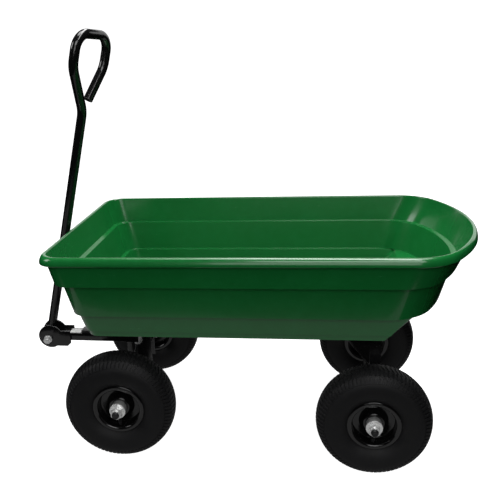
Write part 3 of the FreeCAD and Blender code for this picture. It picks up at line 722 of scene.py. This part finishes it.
def butyl():
    """Inner tube rubber: soft black, powdered with talc."""
    skin = Finish("inner tube butyl", Specular_IOR_Level=0.3)
    talc = skin.band(skin.noise(40.0, 6.0, 0.7), 0.5, 0.8)
    skin.feed("Base Color", skin.tint(talc * 0.4, (0.012, 0.012, 0.013, 1), (0.10, 0.10, 0.10, 1)))
    skin.feed("Roughness", talc * 0.2 + 0.5)
    skin.bump(skin.noise(300.0), 0.0002, 0.4)
    return skin.material


hub_zinc = zinc("hub zinc plate", tone=0.5, gloss=0.36, grime=0.9)
bearing_steel = zinc("bearing steel", tone=0.52, gloss=0.3, grime=0.9)
copies_on_wheels(hub_tube(), "hub", hub_zinc)
copies_on_wheels(join_pieces("bearing_pair", [bearing_ring(-1), bearing_ring(1)]),
                 "bearings", bearing_steel)
tube_rubber = butyl()
for wheel in wheel_places:
    fit_piece(worked_copy(wheel + "_inner_tube", wheel + "_inner_tube_shape", 0.0, angle=35),
              tube_rubber, wheel + "_wheel", [wheel + "_inner_tube"])

# ------------------------------------------------------------------ the tub
# One rotational moulding of glossy green polyethylene, 4 mm thick, stepped in three tiers
# with a rolled rim and a sloping rear wall. It is bolted to the hinge brackets and tongue.
tub_bottom = 0.326
tub_depth = 0.200
tub_wall = 0.004
tub_front = cart_x(-0.729)
tub_nose = cart_x(0.225)
tub_half_width = 0.261
lower_step = 0.2825 * tub_depth
upper_step = 0.655 * tub_depth
foot_step = 0.013
ramp_start = cart_x(0.012)
ramp_angle = math.radians(45.7)
ramp_slope = math.tan(ramp_angle)
ramp_skin = tub_wall / math.sin(ramp_angle)


def corner_arc(centre, radius, start, end, count):
    """Places on an arc, from the start angle to the end angle, without its first one."""
    places = []
    for step in range(1, count + 1):
        angle = math.radians(start + (end - start) * step / count)
        places.append((centre[0] + radius * math.cos(angle),
                       centre[1] + radius * math.sin(angle)))
    return places


def tub_outline(front_inset, side_inset, nose_inset, skin):
    """The tub's plan: straight front and sides, round corners and a nose of one wide arc."""
    front = tub_front + front_inset + skin
    half = tub_half_width - side_inset - skin
    tip = tub_nose - nose_inset - skin
    front_radius = (0.042 if side_inset < 0.030 else 0.027) - skin
    corner_radius = 0.105 - skin
    nose_radius = 0.375 - skin
    side = half - corner_radius
    reach = math.sqrt((nose_radius - corner_radius) ** 2 - side ** 2)
    arc_x = tip - nose_radius
    turn = math.degrees(math.atan2(side, reach))
    corner_x = arc_x + reach
    right = [(front, half * k / 4) for k in range(0, 4)]
    right.append((front, half - front_radius))
    right += corner_arc((front + front_radius, half - front_radius), front_radius, 180, 90, 9)
    start = front + front_radius
    right += [(start + (corner_x - start) * k / 12, half) for k in range(1, 13)]
    right += corner_arc((corner_x, side), corner_radius, 90, turn, 16)
    right += corner_arc((arc_x, 0), nose_radius, turn, 0, 14)
    left = [(x, -y) for x, y in right[-2:0:-1]]
    return right + left


def tub_levels():
    """Every ring of the tub's skin, from the outer foot over the rim to the inner floor:
    the height above the underside, the three insets, and the skin's thickness so far."""
    rows = [(0.0, 0.082, 0.0465, 0.072), (foot_step, 0.079, 0.045, 0.070),
            (foot_step, 0.076, 0.042, 0.058), (lower_step, 0.064, 0.037, 0.050),
            (lower_step, 0.053, 0.027, 0.073), (upper_step, 0.036, 0.0215, 0.051),
            (upper_step, 0.023, 0.0115, 0.038), (0.1962, 0.0083, 0.0083, 0.0083)]
    outside = [(height, front, side, nose, 0.0) for height, front, side, nose in rows]
    lip = [(0.1962, 0.0060), (0.1830, 0.0042), (0.1816, 0.0036), (0.1811, 0.0024),
           (0.1814, 0.0010), (0.1824, 0.0002), (0.1850, 0.0002), (0.1890, 0.0010),
           (0.1930, 0.0022), (0.1962, 0.0038), (0.1986, 0.0060), (0.1998, 0.0084),
           (0.2000, 0.0100), (0.1996, 0.0114), (0.1984, 0.0122), (0.1964, 0.0126)]
    rim = [(height, inset, inset, inset, 0.0) for height, inset in lip]
    inside = [(height + tub_wall, front, side, nose, tub_wall)
              for height, front, side, nose in reversed(rows[:-1])]
    return outside + rim + inside


def place_ring(piece, old, new):
    """Move the selected ring of verts from its old places to its new ones."""
    mesh = bmesh.from_edit_mesh(piece.data)
    order = {(round(x, 6), round(y, 6), round(z, 6)): i for i, (x, y, z) in enumerate(old)}
    for vert in mesh.verts:
        if vert.select:
            key = tuple(round(value, 6) for value in vert.co)
            vert.co = new[order[key]]
    bmesh.update_edit_mesh(piece.data)


def ring_places(level):
    height, front_inset, side_inset, nose_inset, skin = level
    places = []
    for x, y in tub_outline(front_inset, side_inset, nose_inset, skin):
        limit = ramp_start - (ramp_skin if skin else 0) + height / ramp_slope
        if height <= lower_step + skin + 1e-6 and side_inset > 0.030:
            x = min(x, limit)
        places.append(Vector((x, y, tub_bottom + height)))
    return places


def green_poly():
    """Glossy green polyethylene: faint cloudiness, fine rub marks and a little dust."""
    poly = Finish("green polyethylene", Specular_IOR_Level=0.5, Coat_Roughness=0.08)
    cloud = poly.noise(5.0, 3.0, 0.5)
    mottle = poly.band(poly.noise(38.0, 4.0, 0.6), 0.35, 0.75)
    green = poly.tint(cloud, (0.0055, 0.125, 0.024, 1), (0.0075, 0.155, 0.031, 1))
    green = poly.tint(mottle * 0.18, green, (0.014, 0.19, 0.05, 1))
    rubs = poly.band(poly.noise(16.0, 9.0, 0.78, (1.0, 9.0, 6.0)), 0.6, 0.72)
    cross = poly.band(poly.noise(18.0, 9.0, 0.78, (8.0, 1.4, 5.0)), 0.63, 0.72)
    marks = rubs + cross
    green = poly.tint(marks * 0.10, green, (0.10, 0.30, 0.14, 1))
    poly.feed("Base Color", green)
    poly.feed("Roughness", poly.noise(7.0, 4.0) * 0.10 + marks * 0.10 + 0.15)
    poly.feed("Coat Weight", 0.45 - marks * 0.25)
    waves = poly.noise(9.0, 2.0, 0.4)
    skin = poly.noise(260.0, 2.0, 0.5)
    poly.bump(waves * 2.2 + skin * 0.10 + marks * 0.06, 0.0009, 0.28)
    return poly.material


def poly_tub():
    levels = [ring_places(level) for level in tub_levels()]
    deselect()
    bpy.ops.mesh.primitive_circle_add(vertices=len(levels[0]), radius=1.0)
    tub = bpy.context.object
    tub.name = "poly_tub"
    for vert, place in zip(tub.data.vertices, levels[0]):
        vert.co = place
    make_active(tub)
    bpy.ops.object.mode_set(mode="EDIT")
    bpy.ops.mesh.select_mode(type="VERT")
    bpy.ops.mesh.select_all(action="SELECT")
    for old, new in zip(levels, levels[1:]):
        bpy.ops.mesh.extrude_region_move()
        place_ring(tub, old, new)
    bpy.ops.mesh.edge_face_add()
    leave_edit()
    pick(tub, "verts", lambda at: abs(at.z - tub_bottom) < 1e-5)
    bpy.ops.mesh.edge_face_add()
    bpy.ops.mesh.select_all(action="SELECT")
    bpy.ops.mesh.normals_make_consistent(inside=False)
    leave_edit()
    soften(tub, 0.0030, 5, 24)
    smooth(tub, 40)
    turn_piece(tub, slope)
    return tub


fit_piece(poly_tub(), green_poly(), "tub_body", ["tub"])

# ------------------------------------------------------------------ turntable and carrier
# The front axle's welded carrier: beam, two cheeks, ribs and a round table. It turns on a
# kingpin under the cross member, with a greased black nylon washer between the plates.


def nylon(name):
    """Black nylon: waxy, slightly mottled, with moulding grain."""
    body = Finish(name, Specular_IOR_Level=0.45)
    mottle = body.band(body.noise(80.0, 4.0), 0.4, 0.7)
    body.feed("Base Color", body.tint(mottle, (0.014, 0.014, 0.015, 1), (0.03, 0.03, 0.031, 1)))
    body.feed("Roughness", mottle * 0.14 + 0.34)
    body.bump(body.noise(600.0, 2.0), 0.0001, 0.4)
    return body.material


def placed_bead(start, end, radius=0.0022):
    """A weld bead on the steered front group, given along, across and up from the kingpin."""
    bead = weld_bead(start, end, radius)
    turn_piece(bead, steer_turn)
    return bead


cheek_inner = 0.0168
cheek_outer = 0.0218
carrier_front, carrier_rear = -0.024, 0.038
carrier_beads = []
for side in (-1, 1):
    for edge in (cheek_inner, cheek_outer):
        carrier_beads.append(placed_bead((-beam_half, side * edge, beam_top),
                                         (beam_half, side * edge, beam_top), 0.0018))
    carrier_beads.append(placed_bead((carrier_front + 0.003, side * cheek_outer, 0.2489),
                                     (carrier_rear - 0.003, side * cheek_outer, 0.2489)))
    for rib_face in (-0.0025, 0.0025):
        carrier_beads.append(placed_bead((rib_face, side * (cheek_outer + 0.004), beam_top),
                                         (rib_face, side * 0.082, beam_top), 0.0016))
carrier_coat = powder_coat("carrier powder coat", gloss=0.2)
carrier = worked_copy("front_axle_carrier", "front_axle_carrier_weldment", 0.0009, 2)
fit_piece(join_pieces("front_axle_carrier_weldment", [carrier] + carrier_beads),
          carrier_coat, "steering", ["front_axle_carrier"])
fit_piece(worked_copy("turntable_washer", "turntable_nylon_washer", 0.0006),
          nylon("greased nylon"), "steering", ["turntable_washer"])
fit_piece(worked_copy("kingpin", "kingpin_bolt", 0.0006), worn_zinc, "frame",
          ["kingpin"])
fit_piece(worked_copy("kingpin_nut", "kingpin_flange_nut", 0.0006), bright_zinc, "frame",
          ["kingpin_nut"])

# ------------------------------------------------------------------ the drawbar
# A box-section bar pinned between the carrier's cheeks by one bolt. It has a blank white
# sticker and a small black rubber buffer on its top, behind the coupling.
drawbar_coat = powder_coat("drawbar powder coat", tone=0.005, gloss=0.14, dust=0.35)
fit_piece(worked_copy("drawbar", "drawbar_box_tube", 0.0016, 3), drawbar_coat, "steering",
          ["drawbar"])
drawbar_top = 0.2124


def sticker():
    """White vinyl: nearly plain, with smudges and softly worn edges."""
    vinyl = Finish("white vinyl", Specular_IOR_Level=0.5)
    smudge = vinyl.band(vinyl.noise(120.0, 5.0, 0.65), 0.5, 0.75)
    clean, handled = (0.75, 0.75, 0.74, 1), (0.45, 0.44, 0.42, 1)
    vinyl.feed("Base Color", vinyl.tint(smudge * 0.5, clean, handled))
    vinyl.feed("Roughness", smudge * 0.2 + 0.3)
    vinyl.bump(vinyl.noise(400.0, 2.0), 0.00005, 0.4)
    return vinyl.material


label = bar("drawbar_blank_label", (-0.1480, -0.0120, drawbar_top - 0.0002),
            (-0.1760, 0.0120, drawbar_top + 0.0003))
pick(label, "edges", lambda a, b: abs(a.z - b.z) > 0.0003)
bpy.ops.mesh.bevel(offset=0.0022, segments=4, affect="EDGES")
leave_edit()
turn_piece(label, steer_turn)
smooth(label, 30)
fit_piece(label, sticker(), "steering")

buffer = bar("drawbar_rubber_buffer", (-0.1215, -0.0130, drawbar_top - 0.0004),
             (-0.1455, 0.0130, drawbar_top + 0.0068))
pick(buffer, "faces", lambda at, normal: normal.z > 0.9)
bpy.ops.mesh.inset(thickness=0.0030)
bpy.ops.transform.translate(value=(0, 0, 0.0012))
leave_edit()
soften(buffer, 0.0016, 4, 20)
smooth(buffer, 40)
turn_piece(buffer, steer_turn)
fit_piece(buffer, nylon("buffer rubber"), "steering")

# ------------------------------------------------------------------ the handle coupling
# Two round-headed steel side plates welded to the drawbar's end. The handle pivots between
# them on a plated bolt, held off the plates by nylon spacers.
coupling_coat = powder_coat("coupling powder coat", tone=0.005, gloss=0.13, dust=0.35)
for side in ("left", "right"):
    node = "coupling_" + side + "_plate"
    fit_piece(worked_copy(node, node + "_cut", 0.0009, 3), coupling_coat, "steering",
              [node])
for node, name, slot, finish, width in (
        ("drawbar_bolt", "drawbar_hexagon_bolt", "drawbar_bolt_zinc", bright_zinc, 0.0006),
        ("drawbar_nut", "drawbar_flange_nut", "drawbar_nut_zinc", bright_zinc, 0.0006),
        ("handle_pivot_bolt", "handle_pivot_hexagon_bolt", "pivot_bolt_zinc", bright_zinc,
         0.0006),
        ("handle_pivot_nut", "handle_pivot_flange_nut", "pivot_nut_zinc", bright_zinc, 0.0006),
        ("handle_spacers", "handle_nylon_spacers", "spacer_nylon", nylon("spacer nylon"),
         0.0005)):
    fit_piece(worked_copy(node, name, width), finish, "steering", [node])

# ------------------------------------------------------------------ the pull handle
# One length of 22 mm steel tube, bent into a long closed grip, coated glossy black and
# scuffed where it is held. A polyethylene plug closes its open end against the shaft.
handle_coat = powder_coat("handle powder coat", tone=0.005, gloss=0.12, dust=0.3)
fit_piece(worked_copy("handle_tube", "handle_bent_tube", 0.0, angle=30), handle_coat, "handle",
          ["handle_tube"])
fit_piece(worked_copy("handle_end_plug", "handle_tube_plug", 0.0006),
          nylon("plug polyethylene"), "handle", ["handle_end_plug"])

# ------------------------------------------------------------------ floor, lamps and camera
# A wide pale floor that glows a little under a white sky, a lit sheet of paper below the
# cart for its lower walls to reflect, broad soft lamps all round, and a standing camera.
deselect()
bpy.ops.mesh.primitive_plane_add(size=60, location=(0, -27.2, 0))
floor = bpy.context.object
floor.name = "studio_floor"
floor_finish = Finish("studio floor", Roughness=0.95, Specular_IOR_Level=0.1,
                      Emission_Color=(1, 1, 1, 1), Emission_Strength=1.15)
floor_finish.feed("Base Color", (0.4, 0.4, 0.4, 1))
floor.data.materials.append(floor_finish.material)
floor.visible_glossy = False
floor.visible_diffuse = False
deselect()
bpy.ops.mesh.primitive_plane_add(size=1, location=(-0.06, 0.15, 0.0008))
glow = bpy.context.object
glow.name = "lit_paper_under_the_cart"
glow.scale = (1.52, 1.60, 1)
bpy.ops.object.transform_apply(location=True, rotation=True, scale=True)
paper = Finish("lit paper", Roughness=0.9, Emission_Color=(1, 1, 1, 1), Emission_Strength=0.34)
paper.feed("Base Color", (0.0, 0.0, 0.0, 1))
glow.data.materials.append(paper.material)
glow.visible_camera = False
glow.visible_shadow = False

world = bpy.data.worlds.new("studio")
bpy.context.scene.world = world
world.use_nodes = True
sky = world.node_tree
seen = sky.nodes.new("ShaderNodeLightPath")
direction = sky.nodes.new("ShaderNodeTexCoord")
height = sky.nodes.new("ShaderNodeSeparateXYZ")
sky.links.new(direction.outputs["Generated"], height.inputs["Vector"])
overhead = sky.nodes.new("ShaderNodeMapRange")
overhead.inputs["From Min"].default_value = 0.30
overhead.inputs["From Max"].default_value = 0.9
overhead.inputs["To Min"].default_value = 0.02
overhead.inputs["To Max"].default_value = 0.42
sky.links.new(height.outputs["Z"], overhead.inputs["Value"])
lit_sky = sky.nodes["Background"]
sky.links.new(overhead.outputs["Result"], lit_sky.inputs["Strength"])
seen_sky = sky.nodes.new("ShaderNodeBackground")
seen_sky.inputs["Color"].default_value = (1, 1, 1, 1)
seen_sky.inputs["Strength"].default_value = 1.5
chosen_sky = sky.nodes.new("ShaderNodeMixShader")
sky.links.new(seen.outputs["Is Camera Ray"], chosen_sky.inputs["Fac"])
sky.links.new(lit_sky.outputs["Background"], chosen_sky.inputs[1])
sky.links.new(seen_sky.outputs["Background"], chosen_sky.inputs[2])
sky.links.new(chosen_sky.outputs["Shader"], sky.nodes["World Output"].inputs["Surface"])


def lamp(kind, name, place, target, **settings):
    data = bpy.data.lights.new(name, kind)
    for setting, value in settings.items():
        setattr(data, setting, value)
    holder = bpy.data.objects.new(name, data)
    bpy.context.scene.collection.objects.link(holder)
    holder.location = place
    holder.visible_camera = False
    holder.rotation_euler = (Vector(target) - Vector(place)).to_track_quat("-Z", "Y").to_euler()
    return holder


lamp("SUN", "overhead lamp", (0.0, 0.35, 4.0), (0.0, 0.0, 0.0), energy=2.7,
     angle=math.radians(40))
lamp("AREA", "backdrop lamp", (0.2, 3.0, 1.5), (0.2, 0.0, 0.6), shape="RECTANGLE",
     size=6.0, size_y=2.0, energy=46)
lamp("AREA", "top softbox", (0.1, 0.05, 2.0), (0.0, 0.0, 0.45), shape="RECTANGLE",
     size=2.6, size_y=0.34, energy=28)
lamp("AREA", "key softbox", (0.5, -2.6, 2.3), (0.0, 0.0, 0.35), shape="RECTANGLE",
     size=1.8, size_y=1.2, energy=30)
lamp("AREA", "low softbox", (0.2, -3.0, 1.15), (0.0, 0.0, 0.30), shape="RECTANGLE",
     size=1.6, size_y=0.8, energy=9)
lamp("AREA", "front lamp", (-2.2, -0.7, 1.7), (0.1, 0.0, 0.4), shape="RECTANGLE",
     size=0.9, size_y=0.9, energy=15)

camera_data = bpy.data.cameras.new("camera")
camera = bpy.data.objects.new("camera", camera_data)
bpy.context.scene.collection.objects.link(camera)
yaw = math.radians(7.83)
pitch = math.radians(20.04)
roll = math.radians(-0.59)
forward = Vector((-math.sin(yaw) * math.cos(pitch), math.cos(yaw) * math.cos(pitch),
                  -math.sin(pitch)))
camera.location = (0.1996, -1.5606, 0.9820)
camera.rotation_mode = "QUATERNION"
camera.rotation_quaternion = (forward.to_track_quat("-Z", "Y")
                              @ Matrix.Rotation(roll, 3, "Z").to_quaternion())
camera_data.sensor_width = 36.0
camera_data.lens = 49.45
camera_data.shift_x = 0.0249
camera_data.shift_y = 0.0299
camera_data.clip_start = 0.05
bpy.context.scene.camera = camera
bpy.context.scene.view_settings.view_transform = "Standard"
bpy.context.scene.view_settings.exposure = -0.3
